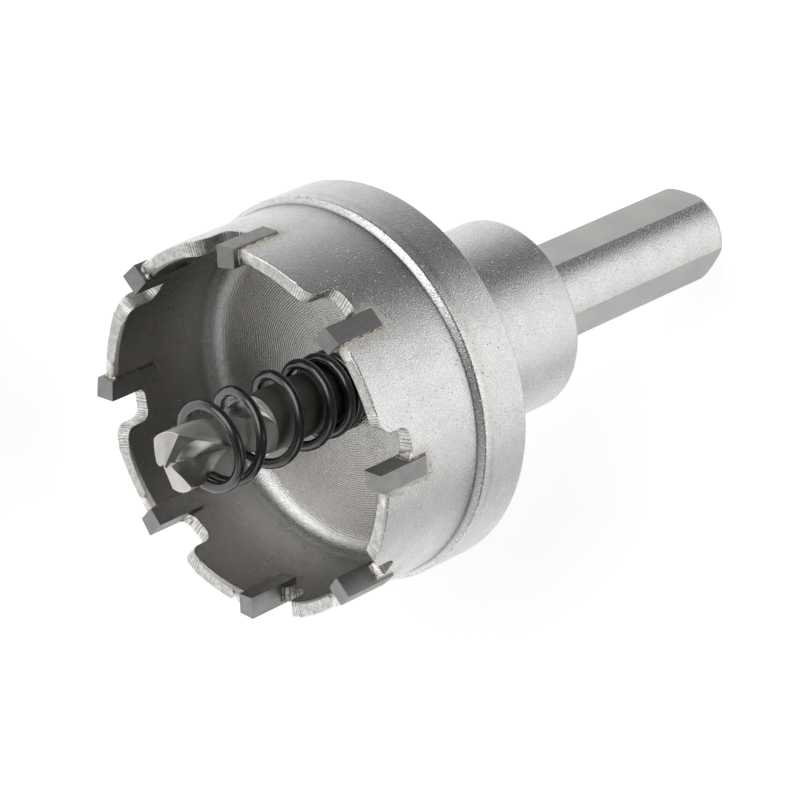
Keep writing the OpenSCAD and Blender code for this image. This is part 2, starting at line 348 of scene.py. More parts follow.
def break_edges(piece, width, angle=29, segments=2):
    """Bevels the edges that are sharper than the angle, in degrees."""
    modifier = piece.modifiers.new("edges", "BEVEL")
    modifier.width = width
    modifier.segments = segments
    modifier.profile = 0.5
    modifier.limit_method = "ANGLE"
    modifier.angle_limit = math.radians(angle)
    modifier.use_clamp_overlap = False
    modifier.loop_slide = True
    settle(piece)


def unfold(piece, reach=0.15, fold=math.radians(20)):
    """Welds the corners that a bevel slid back over the next face of a turned wall."""
    bm = bmesh.new()
    bm.from_mesh(piece.data)
    welds = {}
    for loop in (loop for face in bm.faces if len(face.verts) > 4 for loop in face.loops):
        near, far = loop.link_loop_prev.vert, loop.link_loop_next.vert
        if (far.co - loop.vert.co).length < (near.co - loop.vert.co).length:
            near, far = far, near
        short = near.co - loop.vert.co
        if short.length < reach and short.angle(far.co - loop.vert.co, math.pi) < fold:
            welds[loop.vert] = near
    welds = {vert: near for vert, near in welds.items() if near not in welds}
    bmesh.ops.weld_verts(bm, targetmap=welds)
    bm.to_mesh(piece.data)
    bm.free()


def smooth(piece, angle=40):
    """Shades the piece smooth, with sharp edges above the angle and broad faces kept true."""
    piece.data.shade_smooth()
    piece.data.set_sharp_from_angle(angle=math.radians(angle))
    modifier = piece.modifiers.new("normals", "WEIGHTED_NORMAL")
    modifier.keep_sharp = True
    modifier.weight = 50
    settle(piece)


def true_turned_faces(piece, limit=math.radians(2.5), skew=0.02, pole=0.01):
    """Gives the turned faces the normals of true cylinders, cones and planes."""
    mesh = piece.data
    normals = [corner.vector.copy() for corner in mesh.corner_normals]
    for face in mesh.polygons:
        radial = Vector((face.center.x, face.center.y, 0)).normalized()
        around = Vector((-radial.y, radial.x, 0))
        if abs(face.normal.dot(around)) > skew or face.material_index:
            continue
        for loop in face.loop_indices:
            place = mesh.vertices[mesh.loops[loop].vertex_index].co
            if place.xy.length < pole:
                normals[loop] = face.normal.copy()
                continue
            out = Vector((place.x, place.y, 0)).normalized()
            exact = out * face.normal.dot(radial) + Vector((0, 0, face.normal.z))
            mean = out * normals[loop].dot(out) + Vector((0, 0, normals[loop].z))
            normals[loop] = exact if exact.angle(mean, 0) < limit else mean.normalized()
    mesh.normals_split_custom_set(normals)


def seat(piece, slot, *nodes):
    """Moves the mesh into the frame, hangs the piece under the root body, and hides the nodes that it
    stands in for.
    """
    piece.data.transform(tool_frame())
    piece.data.update()
    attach(piece, "root")
    if nodes:
        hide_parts(*nodes)
    return piece


def body_profile(cup):
    """Half of the body's outline: radius and distance along the axis, from web to shank."""
    bore_r, cup_r = wall_radii(cup)
    flange_r, hub_r, shank_r = mm(cup.flange_d) / 2, mm(cup.hub_d) / 2, mm(cup.shank_d) / 2
    web, web_round = mm(cup.web_z), mm(cup.web_round)
    rim = mm(cup.rim_drop - cup.tip_reach)
    inner, outer = mm(cup.inner_chamfer), mm(cup.outer_chamfer)
    hub, hub_round = mm(cup.hub_z), mm(cup.hub_round)
    end, end_round = mm(cup.shank_z), mm(cup.shank_round)
    flange, slope = mm(cup.flange_l), mm(cup.flange_slope)
    flange_round = mm(cup.flange_round)
    climb = math.degrees(math.atan2(slope, flange_r - cup_r))
    back = flange_round * math.tan(math.radians(climb / 2))
    broken = 0.15
    return (
        [(0, web)]
        + arc((bore_r - web_round, web - web_round), web_round, 90, 0, 12)
        + [(bore_r, rim + inner), (bore_r + inner, rim), (cup_r - outer, rim), (cup_r, rim + outer)]
        + [(cup_r, -slope)]
        + arc((flange_r - flange_round, back), flange_round, climb - 90, 0, 5)
        + [(flange_r, flange - broken), (flange_r - broken, flange), (hub_r, flange)]
        + arc((hub_r - hub_round, hub - hub_round), hub_round, 0, 90, 6)
        + [(shank_r, hub)]
        + arc((shank_r - end_round, end - end_round), end_round, 0, 90, 10)
        + [(0, end)]
    )


def gullet_outline(cup, teeth, ahead=1.0):
    """What is milled away in front of a tip: across the cup, and back from the edges."""
    face = -mm(teeth.tip_w) / 2
    wall = face - mm(teeth.gullet_w)
    crest = mm(cup.rim_drop + teeth.land_fall + teeth.facet_fall)
    depth, corner, shoulder = mm(teeth.gullet_l), mm(teeth.gullet_r), mm(teeth.shoulder_r)
    facet = wall - shoulder - mm(teeth.facet_l)
    foot = facet - 1.5 * mm(teeth.land_l)
    return (
        [(face, -ahead)]
        + arc((face - corner, depth - corner), corner, 0, 90, 10)
        + arc((wall + corner, depth - corner), corner, 90, 180, 10)
        + arc((wall - shoulder, crest + shoulder), shoulder, 0, -90, 12)
        + [(facet, mm(cup.rim_drop + teeth.land_fall))]
        + [(foot, mm(cup.rim_drop) - mm(teeth.land_fall) / 2), (foot, -ahead)]
    )


def slot_outline(teeth, ahead=1.0):
    """The slot for a tip and its braze: across the cup, and back from the edges."""
    half = mm(teeth.tip_w) / 2 + mm(teeth.braze_t)
    depth = mm(teeth.tip_l) + mm(teeth.braze_t)
    return [(-half, -ahead), (half, -ahead), (half, depth), (-half, depth)]


def teeth_cutter(name, points, cup, teeth, finish):
    """Cuts the same outline through the wall at every tip."""
    bm = bmesh.new()
    bore_r, _ = wall_radii(cup)
    for index in range(teeth.count):
        placed = [(bore_r - CUT_START, across, back - mm(cup.tip_reach)) for across, back in points]
        verts = prism(bm, placed, (CUT_THROUGH, 0, 0))
        bmesh.ops.transform(bm, matrix=at_tip(index), verts=verts)
    return as_object(name, bm, finish)


def flat_cutter(cup, finish):
    """Cuts the shank's three flats."""
    bm = bmesh.new()
    near, far = mm(cup.flat_r), mm(cup.shank_d)
    low, high = mm(cup.hub_z + cup.flat_gap), mm(cup.shank_z) + CLEAR
    for name in ("shank_flat_1", "shank_flat_2", "shank_flat_3"):
        normal = tool_frame().to_3x3().inverted() @ Vector(mounts[name]["axis"])
        turn = Matrix.Rotation(math.atan2(normal.y, normal.x), 4, "Z")
        verts = prism(bm, rectangle(near, far, far, low), (0, 0, high - low))
        bmesh.ops.transform(bm, matrix=turn, verts=verts)
    return as_object("flats", bm, finish)


def bore_cutter(cup, finish):
    """Cuts the blind bore that holds the drill, with the cone at its end."""
    radius, bore = mm(cup.bore_r), mm(cup.bore_z)
    profile = [(0, -CLEAR), (radius, -CLEAR), (radius, bore), (0, bore + mm(cup.bore_cone))]
    return as_object("bore", turned(profile, BORE_STEPS), finish)


def screw_cutter(cup, finish):
    """Cuts the tapped hole from the axis out through the hub."""
    bm = bmesh.new()
    radius, depth = mm(cup.screw_r), mm(cup.hub_d)
    bmesh.ops.create_cone(
        bm, cap_ends=True, segments=64, radius1=radius, radius2=radius, depth=depth,
        matrix=screw_place() @ Matrix.Translation((0, 0, depth / 2)))
    return as_object("tapped_hole", bm, finish)


def screw_place():
    """From the grub screw's own axis to the tool's frame."""
    socket = tool_frame().inverted() @ Vector(mounts["key_socket"]["pos_m"])
    turn = Matrix.Rotation(math.atan2(socket.y, socket.x), 4, "Z")
    return Matrix.Translation((0, 0, socket.z)) @ turn @ Matrix.Rotation(math.pi / 2, 4, "Y")


class Shader:
    """Adds nodes to a material or a world and links them."""

    def __init__(self, owner):
        owner.use_nodes = True
        self.tree = owner.node_tree
        self.tree.nodes.clear()

    def add(self, kind, inputs=None, **settings):
        """Adds a node, with its inputs set to values or linked to sockets."""
        made = self.tree.nodes.new(kind)
        for name, value in settings.items():
            setattr(made, name, value)
        for name, value in (inputs or {}).items():
            if isinstance(value, bpy.types.NodeSocket):
                self.tree.links.new(value, made.inputs[name])
            else:
                made.inputs[name].default_value = value
        return made

    def math(self, operation, *values):
        made = self.add("ShaderNodeMath", dict(enumerate(values)), operation=operation)
        return made.outputs[0]

    def plus(self, total, *others):
        """The sum of all the values."""
        for other in others:
            total = self.math("ADD", total, other)
        return total

    def times(self, product, *others):
        """The product of all the values."""
        for other in others:
            product = self.math("MULTIPLY", product, other)
        return product

    def ramp(self, value, low, high, out_low=0.0, out_high=1.0, shape="SMOOTHSTEP"):
        """Goes from out_low to out_high while the value goes from low to high."""
        made = self.add(
            "ShaderNodeMapRange",
            {"Value": value, "From Min": low, "From Max": high, "To Min": out_low, "To Max": out_high},
            interpolation_type=shape)
        return made.outputs[0]

    def noise(self, vector, scale, detail=2.0, rough=0.5):
        made = self.add(
            "ShaderNodeTexNoise",
            {"Vector": vector, "Scale": scale, "Detail": detail, "Roughness": rough})
        return made.outputs["Fac"]

    def cells(self, vector, scale):
        """Distance from the middle of the nearest cell, and a number that each cell has."""
        made = self.add("ShaderNodeTexVoronoi", {"Vector": vector, "Scale": scale})
        number = self.add("ShaderNodeSeparateColor", {0: made.outputs["Color"]}).outputs[0]
        return made.outputs["Distance"], number

    def scaled(self, colour, factor):
        """The colour made lighter or darker by the factor."""
        made = self.add("ShaderNodeVectorMath", {0: colour, "Scale": factor}, operation="SCALE")
        return made.outputs[0]

    def spots(self, vector, scale, size, rarity):
        """Small round bumps in the few cells whose number is above the rarity."""
        distance, number = self.cells(vector, scale)
        chosen = self.ramp(number, rarity, rarity + 0.01)
        return self.times(self.ramp(distance, size, 0.0), chosen)

    def mix(self, share, first, second):
        made = self.add("ShaderNodeMix", {0: share, 6: first, 7: second}, data_type="RGBA")
        return made.outputs[2]

    def point(self, x, y, z=0.0):
        return self.add("ShaderNodeCombineXYZ", {0: x, 1: y, 2: z}).outputs[0]

    def distance(self, vector):
        """Length of the vector."""
        made = self.add("ShaderNodeVectorMath", {0: vector}, operation="LENGTH")
        return made.outputs["Value"]

    def tool_space(self):
        """Object coordinates turned into millimetres in the tool's frame."""
        into = tool_frame().inverted()
        turn = into.to_3x3().normalized().to_4x4()
        place = self.add("ShaderNodeTexCoord").outputs["Object"]
        made = self.add(
            "ShaderNodeMapping",
            {"Vector": place, "Location": into.translation, "Rotation": turn.to_euler(),
             "Scale": (MM, MM, MM)})
        return made.outputs[0]

    def round_axis(self, place):
        """Radius, angle and distance along the tool's axis."""
        parts = self.add("ShaderNodeSeparateXYZ", {0: place}).outputs
        radius = self.distance(self.point(parts[0], parts[1]))
        return radius, self.math("ARCTAN2", parts[1], parts[0]), parts[2]

    def near_tip(self, angle, along):
        """Distance round the cup from the nearest tip's middle, and from the tip's outline."""
        cup, teeth = bpy.context.scene.saw_cup, bpy.context.scene.saw_teeth
        step = math.pi / teeth.count
        turned_by = self.math("WRAP", self.math("SUBTRACT", angle, teeth.first), step, -step)
        across = self.times(turned_by, mm(cup.cup_d) / 2)
        middle = mm(teeth.tip_l) / 2
        beside = self.math("SUBTRACT", self.math("ABSOLUTE", across), mm(teeth.tip_w) / 2)
        behind = self.math("ABSOLUTE", self.plus(along, mm(cup.tip_reach) - middle))
        behind = self.math("SUBTRACT", behind, middle)
        gap = self.point(self.math("MAXIMUM", beside, 0.0), self.math("MAXIMUM", behind, 0.0))
        return across, self.distance(gap)

    def bump(self, height, strength, distance=0.00002, normal=None):
        inputs = {"Height": height, "Strength": strength, "Distance": distance}
        if normal:
            inputs["Normal"] = normal
        return self.add("ShaderNodeBump", inputs).outputs[0]

    def surface(self, shader):
        self.add("ShaderNodeOutputMaterial", {"Surface": shader.outputs[0]})

    def metal(self, colour, roughness, normal, **more):
        inputs = {"Base Color": colour, "Metallic": 1.0, "Roughness": roughness, "Normal": normal}
        self.surface(self.add("ShaderNodeBsdfPrincipled", inputs | more))


def material(name):
    made = bpy.data.materials.new(name)
    return made, Shader(made)


def rgba(colour):
    return (*colour, 1.0)


def shade(colour, *factors):
    """The colour with each of its channels multiplied by a factor, or all by the same one."""
    return rgba([c * k for c, k in zip(colour, factors * 3)])


def blasted_grain(s, place, open_side):
    """Fine grain all over, and bright specks, larger grains and pits where blasting reached."""
    grain = s.noise(place, 8.0, rough=0.6)
    specks = s.spots(place, scale=3.8, size=0.36, rarity=0.91)
    lumps = s.spots(place, scale=1.7, size=0.18, rarity=0.86)
    pits = s.spots(place, scale=0.8, size=0.08, rarity=0.80)
    marks = s.math("SUBTRACT", s.plus(specks, lumps), pits)
    return grain, s.times(marks, open_side)


def turned_rings(s, place, radius, web):
    """Fine rings on the web, stronger where the turning tool chattered."""
    chatter = s.noise(place, 0.7)
    phase = s.plus(s.times(radius, 26.0), s.times(chatter, 3.0))
    rings = s.times(s.math("SINE", phase), s.ramp(chatter, 0.35, 0.6, 0.5, 1.0))
    return s.times(rings, web)


def flux_crust(s, place, across, gap, outside):
    """Where flux has crusted on the wall round a tip, most of it behind the tip."""
    patches = s.plus(s.noise(place, 2.2, 4.0, 0.7), s.ramp(gap, 1.7, 0.1, 0.0, 0.24))
    behind = s.ramp(across, -1.2, 0.4, 0.35, 1.0)
    return s.times(s.ramp(patches, 0.58, 0.66), behind, outside, s.ramp(gap, 1.8, 1.0))


def painted_edge_light_and_shade(s, place, radius, along, outside):
    """How much lighter the painted highlights along the flange's front edge and the rim's outer edge make
    the steel, and how much darker the painted shade in the corner at the flange's slope.
    """
    cup = bpy.context.scene.saw_cup
    flange_r, rim = mm(cup.flange_d) / 2, mm(cup.rim_drop - cup.tip_reach)
    flange_edge = s.times(s.ramp(radius, flange_r - 0.5, flange_r - 0.3), s.ramp(along, 0.5, 0.1))
    # Painted highlight in patches along the flange's front edge
    flange_highlight = s.times(flange_edge, s.ramp(s.noise(place, 4.5, 3.0, 0.6), 0.35, 0.6, -0.15, 0.25))
    # Painted highlight along the rim's outer edge
    rim_highlight = s.times(s.ramp(along, rim + 0.3, rim + 0.2), outside)
    # Painted shade in the corner where the wall meets the flange's slope
    corner = s.math("ABSOLUTE", s.plus(along, mm(cup.flange_slope) + 0.02))
    corner_shade = s.times(s.ramp(corner, 0.17, 0.05), outside)
    return s.math("SUBTRACT", s.plus(flange_highlight, s.times(rim_highlight, 0.4)), s.times(corner_shade, 0.4))


def nickelled_steel(colour, tarnish):
    """Turned steel, blasted to a fine grain and nickel plated, tinted by heat round the tips, with painted
    shade inside the cup, painted glints and shade in the blast marks, and painted highlights and shade at
    the edges.
    """
    made, s = material("nickelled_steel")
    cup = bpy.context.scene.saw_cup
    (bore_r, cup_r), web_z = wall_radii(cup), mm(cup.web_z)
    place = s.tool_space()
    radius, angle, along = s.round_axis(place)
    across, gap = s.near_tip(angle, along)
    outside = s.ramp(radius, bore_r + 0.25, cup_r - 0.55)
    inside = s.times(
        s.math("SUBTRACT", 1.0, outside), s.ramp(along, web_z - 1.4, web_z - 2.4),
        s.ramp(radius, bore_r - 1.55, bore_r - 0.55))
    web = s.times(s.ramp(along, web_z - 0.4, web_z - 0.05), s.ramp(along, web_z + 0.6, web_z + 0.1))
    open_side = s.math("MAXIMUM", outside, s.ramp(along, web_z + 0.3, web_z + 0.7))

    cloud = s.noise(place, 0.35, 3.0)
    grain, marks = blasted_grain(s, place, open_side)
    rings = turned_rings(s, place, radius, web)
    crust = flux_crust(s, place, across, gap, outside)
    normal = s.bump(s.plus(grain, marks), 0.9, 0.00005)
    normal = s.bump(rings, 0.8, 0.000012, normal)

    tone = s.mix(s.ramp(cloud, 0.3, 0.7), shade(colour, 0.94), rgba(colour))
    # Painted shade inside the cup, darker the deeper it goes towards the web
    dim, dark = shade(colour, 0.66, 0.645, 0.62), shade(colour, 0.49, 0.475, 0.455)
    tone = s.mix(inside, tone, s.mix(s.ramp(along, web_z - 2.9, web_z - 8.9), dim, dark))
    tone = s.mix(web, tone, shade(colour, 0.93, 0.92, 0.90))
    scale = s.ramp(s.noise(place, 5.0, 3.0, 0.7), 0.40, 0.56)
    powder = s.mix(scale, shade(tarnish, 0.92, 0.98, 1.20), shade(tarnish, 1.40, 1.52, 1.94))
    tone = s.mix(s.times(crust, 0.9), tone, powder)
    stain = s.times(s.ramp(gap, 2.4, 0.2), s.ramp(s.noise(place, 0.9, 4.0, 0.65), 0.44, 0.62))
    tone = s.mix(s.times(stain, inside, 0.7), tone, shade(tarnish, 0.50, 0.42, 0.33))
    # Grain varies the tone; on the blasted side the specks and lumps are painted lighter as glints and the
    # pits painted darker as shade
    grain_glints_and_pit_shade = s.plus(s.ramp(grain, 0.25, 0.75, 0.76, 1.24, "LINEAR"), s.times(marks, 0.9))
    tone = s.scaled(tone, s.plus(grain_glints_and_pit_shade, s.times(rings, 0.09)))
    # Painted highlights at the flange's edge and the rim, painted shade in the corner at the flange
    tone = s.scaled(tone, s.plus(painted_edge_light_and_shade(s, place, radius, along, outside), 1.0))

    rough = s.plus(s.ramp(cloud, 0.3, 0.7, 0.28, 0.24), s.times(crust, 0.2))
    rough = s.plus(rough, s.times(s.math("MAXIMUM", marks, 0.0), 0.45))
    rough = s.math("SUBTRACT", rough, s.times(web, 0.09))
    metallic = s.math("SUBTRACT", 1.0, s.times(crust, 0.7))
    s.metal(tone, rough, normal, Metallic=metallic)
    return made


def milled_steel(colour):
    """Bright faces with the ridges that a milling cutter leaves across the wall."""
    made, s = material("milled_steel")
    _, cup_r = wall_radii(bpy.context.scene.saw_cup)
    place = s.tool_space()
    radius, angle, along = s.round_axis(place)
    across, gap = s.near_tip(angle, along)
    travel = s.plus(across, s.times(along, 1.3))
    wander = s.noise(place, 0.9, 3.0)
    wave = s.math("SINE", s.plus(s.times(travel, 8.8), s.times(wander, 4.0)))
    ridges = s.math("POWER", s.math("ABSOLUTE", wave), 0.5)
    fine = s.noise(s.point(travel, s.times(along, 0.1)), 8.0, 3.0, 0.7)
    steep = s.times(s.ramp(across, -7.0, -6.5, 0.12, 1.0), s.ramp(across, -0.5, 0.5, 1.0, 0.12))
    height = s.times(s.plus(ridges, s.times(fine, 1.5)), steep)

    cloud = s.noise(place, 1.4, 4.0, 0.6)
    tone = s.mix(s.ramp(cloud, 0.3, 0.7), shade(colour, 0.72), rgba(colour))
    tone = s.mix(s.ramp(gap, 0.9, 0.2, 0.0, 0.6), tone, shade(colour, 0.55, 0.50, 0.42))
    # Painted shade in the grooves between the milled ridges, with the ridges' crests painted a little
    # lighter
    groove_shade = s.times(s.ramp(ridges, 0.25, 0.8, -0.60, 0.18), steep)
    scratches = s.times(s.ramp(fine, 0.3, 0.7, -0.32, 0.32), steep)
    blotches = s.ramp(s.noise(place, 2.6, 4.0, 0.7), 0.35, 0.65, -0.16, 0.16)
    # Painted highlight along the outer edge of the milled faces
    outer_edge_highlight = s.ramp(radius, cup_r - 0.2, cup_r - 0.07, 0.0, 0.45)
    tone = s.scaled(tone, s.plus(groove_shade, scratches, blotches, outer_edge_highlight, 1.0))
    grain = s.bump(s.noise(place, 8.0), 0.6, 0.00004)
    s.metal(tone, s.ramp(steep, 0.1, 1.0, 0.30, 0.20), s.bump(height, 0.9, 0.00003, grain))
    return made


def ground_steel(colour):
    """The shank's flats."""
    made, s = material("ground_steel")
    place = s.tool_space()
    cloud = s.ramp(s.noise(place, 0.25, 3.0), 0.3, 0.7)
    normal = s.bump(s.noise(place, 8.0), 0.35, 0.00003)
    tone = s.mix(cloud, shade(colour, 0.60, 0.62, 0.64), shade(colour, 0.71, 0.685, 0.655))
    s.metal(tone, 0.36, normal)
    return made


def carbide(colour):
    """Sintered carbide, ground dull."""
    made, s = material("carbide")
    place = s.tool_space()
    cloud = s.noise(place, 1.2, 4.0, 0.6)
    spots = s.noise(place, 4.0)
    radius, _, along = s.round_axis(place)
    lines = s.point(s.times(radius, 9.0), s.times(along, 0.6))
    grain = s.plus(s.noise(place, 9.0), s.noise(lines, 1.0, 3.0))
    tone = s.mix(s.ramp(cloud, 0.3, 0.7), shade(colour, 0.88), rgba(colour))
    tone = s.mix(s.ramp(spots, 0.66, 0.74), tone, shade(colour, 0.62))
    s.metal(tone, s.ramp(cloud, 0.3, 0.7, 0.44, 0.38), s.bump(grain, 0.4))
    return made


def braze(colour):
    """Silver braze, lumpy, with a yellow tarnish and dark flux in its hollows."""
    made, s = material("braze")
    place = s.tool_space()
    lumps = s.noise(place, 6.0, 3.0, 0.6)
    flux = s.ramp(s.noise(place, 1.6, 3.0), 0.5, 0.62, 0.0, 0.6)
    hollows, crests = shade(colour, 0.26, 0.24, 0.24), shade(colour, 1.4, 1.5, 1.9)
    tone = s.mix(s.ramp(lumps, 0.40, 0.52), hollows, crests)
    tone = s.mix(flux, tone, shade(colour, 0.6, 0.56, 0.5))
    s.metal(tone, 0.24, s.bump(lumps, 0.9, 0.0001))
    return made


def tool_steel(colour, flute_end, drill_r):
    """Ground flutes and point, finely brushed lands painted lighter as a sheen, and a darker plain shank
    with painted shade deepening towards the web.
    """
    made, s = material("tool_steel")
    place = s.tool_space()
    radius, angle, along = s.round_axis(place)
    streaks = s.noise(s.point(s.times(along, 12.0), s.times(angle, 2.0), radius), 1.0, 3.0)
    grain = s.noise(place, 8.0)
    cloud = s.noise(place, 0.9, 4.0, 0.6)
    plain = s.ramp(along, -flute_end - 0.06, -flute_end + 0.06)
    land = s.ramp(radius, drill_r - 0.12, drill_r - 0.04)
    bright = s.mix(s.ramp(cloud, 0.35, 0.7), shade(colour, 0.85), rgba(colour))
    # The lands are painted half again as light as the flutes, a painted sheen
    bright = s.mix(land, bright, shade(colour, 1.5))
    # The plain shank is darker steel, and painted shade darkens it further towards the web
    shade_deeper_in = s.ramp(along, -flute_end, -flute_end + 5)
    dull = s.mix(shade_deeper_in, shade(colour, 0.58, 0.57, 0.555), shade(colour, 0.30, 0.295, 0.29))
    rough = s.plus(s.ramp(cloud, 0.3, 0.7, 0.27, 0.33), s.times(land, 0.12))
    normal = s.bump(s.plus(streaks, grain), s.ramp(land, 0.0, 1.0, 0.15, 0.5))
    s.metal(s.mix(plain, bright, dull), rough, normal)
    return made


def black_wire(colour):
    """Blackened wire with a gloss."""
    made, s = material("black_spring_steel")
    place = s.tool_space()
    cloud = s.noise(place, 1.5, 3.0)
    grain = s.noise(place, 6.0)
    s.surface(s.add("ShaderNodeBsdfPrincipled", {
        "Base Color": rgba(colour), "Metallic": 0.0, "Roughness": s.ramp(cloud, 0.3, 0.7, 0.15, 0.24),
        "IOR": 2.0, "Normal": s.bump(grain, 0.08)}))
    return made


def pale_floor(colour):
    """A white table, lit by the studio, that glows in a pool where it is seen or mirrored."""
    made, s = material("floor")
    ray = s.add("ShaderNodeLightPath").outputs
    distance = s.add(
        "ShaderNodeVectorMath", {0: s.add("ShaderNodeTexCoord").outputs["Object"], 1: POOL},
        operation="DISTANCE").outputs["Value"]
    mirrored = s.math("MAXIMUM", ray["Is Glossy Ray"], ray["Is Transmission Ray"])
    mirrored = s.times(mirrored, s.ramp(distance, *POOL_FADE, 1.0, 0.0))
    seen = s.math("MAXIMUM", ray["Is Camera Ray"], mirrored)
    glow = s.add("ShaderNodeEmission", {"Color": rgba(colour), "Strength": s.times(seen, FLOOR_GLOW)})
    lit = s.add("ShaderNodeBsdfDiffuse", {"Color": rgba(colour)})
    s.surface(s.add("ShaderNodeAddShader", {0: glow.outputs[0], 1: lit.outputs[0]}))
    return made


class SAW_OT_body(bpy.types.Operator):
    """Turn the body, mill its gullets, slots and flats, and break its edges"""

    bl_idname = "saw.body"
    bl_label = "Body"

    def execute(self, context):
        cup, teeth = context.scene.saw_cup, context.scene.saw_teeth
        colours = context.scene.saw_finishes
        nickel = nickelled_steel(colours.nickel, colours.braze)
        milled = milled_steel(colours.milled)
        ground = ground_steel(colours.nickel)
        piece = as_object("body", turned(body_profile(cup), BODY_STEPS), nickel)
        for cutter in (
            teeth_cutter("gullets", gullet_outline(cup, teeth), cup, teeth, milled),
            teeth_cutter("slots", slot_outline(teeth), cup, teeth, milled),
            flat_cutter(cup, ground), bore_cutter(cup, nickel), screw_cutter(cup, nickel),
        ):
            cut(piece, cutter)
        break_edges(piece, mm(cup.edge))
        unfold(piece)
        smooth(piece)
        true_turned_faces(piece)
        seat(piece, "nickelled_steel", "saw_body")
        return {"FINISHED"}


class SAW_OT_tips(bpy.types.Operator):
    """Grind the carbide tips"""

    bl_idname = "saw.tips"
    bl_label = "Carbide tips"

    def execute(self, context):
        cup, teeth = context.scene.saw_cup, context.scene.saw_teeth
        finish = carbide(context.scene.saw_finishes.carbide)
        for index in range(teeth.count):
            bm = self.tip(cup, teeth)
            bmesh.ops.transform(bm, matrix=at_tip(index), verts=bm.verts[:])
            piece = as_object(f"tip_{index + 1}", bm, finish)
            break_edges(piece, mm(teeth.tip_edge))
            smooth(piece)
            seat(piece, "carbide", f"carbide_tip_{index + 1}")
        return {"FINISHED"}

    def tip(self, cup, teeth):
        """One tip, with its inner side tapered and its end relieved."""
        half, reach = mm(teeth.tip_w) / 2, mm(cup.tip_reach)
        bore_r, _ = wall_radii(cup)
        inner = bore_r - mm(teeth.tip_inside)
        outer = math.sqrt((mm(cup.cut_d) / 2) ** 2 - half ** 2)
        points = [
            (inner, -half, -reach), (outer, -half, -reach),
            (outer, half, -reach), (inner + mm(teeth.tip_taper), half, -reach)]
        bm = bmesh.new()
        prism(bm, points, (0, 0, mm(teeth.tip_l)))
        slope = Vector((0, math.sin(teeth.end_relief), -math.cos(teeth.end_relief)))
        slice_off(bm, points[0], slope)
        merge(bm)
        return bm


def drift(place):
    """A step that changes smoothly from place to place and is the same in every run."""
    return Vector([noise.noise(place + Vector((shift, 0, 0))) for shift in (0.0, 31.4, 62.8)])


class SAW_OT_braze(bpy.types.Operator):
    """Finish the braze seams and add the beads behind them"""

    bl_idname = "saw.braze"
    bl_label = "Braze"

    def execute(self, context):
        finish = braze(context.scene.saw_finishes.braze)
        for index in range(context.scene.saw_teeth.count):
            refinish(frame["nodes"][f"braze_seam_{index + 1}"], finish)
            piece = as_object(f"braze_bead_{index + 1}", self.drops(context.scene, index), finish)
            melt = piece.modifiers.new("melt", "REMESH")
            melt.mode = "VOXEL"
            melt.voxel_size = 0.04
            melt.use_smooth_shade = True
            settle(piece)
            seat(piece, "braze")
        return {"FINISHED"}

    def drops(self, scene, index, spacing=0.09, stray=0.45):
        """Drops along the tip's rear, where the braze flowed out."""
        cup, teeth = scene.saw_cup, scene.saw_teeth
        inner, outer = wall_radii(cup)
        rim, back = mm(cup.rim_drop - cup.tip_reach), mm(teeth.tip_l - cup.tip_reach)
        rear = mm(teeth.tip_w) / 2 + 0.06
        # Each place has its radius, its distance round and along the cup, and the drops' size there
        path = [
            (inner, rear, back - 1.5, 0.10), (inner, rear, rim + 0.3, 0.12), (inner + 0.2, rear, rim, 0.30),
            (outer - 0.2, rear, rim, 0.28), (outer, rear, rim + 0.3, 0.13), (outer, rear, back, 0.10),
            (outer, -rear, back + 0.04, 0.08)]
        bm = bmesh.new()
        for start, end in zip(path, path[1:]):
            gap = Vector(end[:3]) - Vector(start[:3])
            count = max(1, round(gap.length / spacing))
            for drop in range(count):
                share = drop / count
                place = Vector(start[:3]) + gap * share
                size = start[3] + (end[3] - start[3]) * share
                lump = noise.noise(place * 2.3 + Vector((index * 7.1, 0, 0)))
                place += drift(place * 3.1 + Vector((0, index * 5.3, 0))) * size * stray
                turn = Matrix.Rotation(place.y / outer, 4, "Z") @ Matrix.Translation((place.x, 0, place.z))
                bmesh.ops.create_icosphere(
                    bm, subdivisions=2, radius=size * (0.8 + 0.7 * lump), matrix=at_tip(index) @ turn)
        return bm


def flute_radius(drill, angle):
    """Radius of the drill's section at an angle past its cutting corner."""
    full, web = mm(drill.drill_d) / 2 - BACK_CLEARANCE, mm(drill.web) / 2
    rounded, drop = drill.land / 4, 0.1
    if angle <= drill.land:
        return full - drop * max(0, (angle - drill.land + rounded) / rounded) ** 2
    share = min(1, (angle - drill.land) / drill.heel)
    heel = full - drop - (full - drop - web) * math.sqrt(1 - (1 - share) ** 2)
    lead = min(math.pi / 2, math.pi - angle + math.asin(web / full))
    return min(full, max(heel, web / math.sin(lead)))


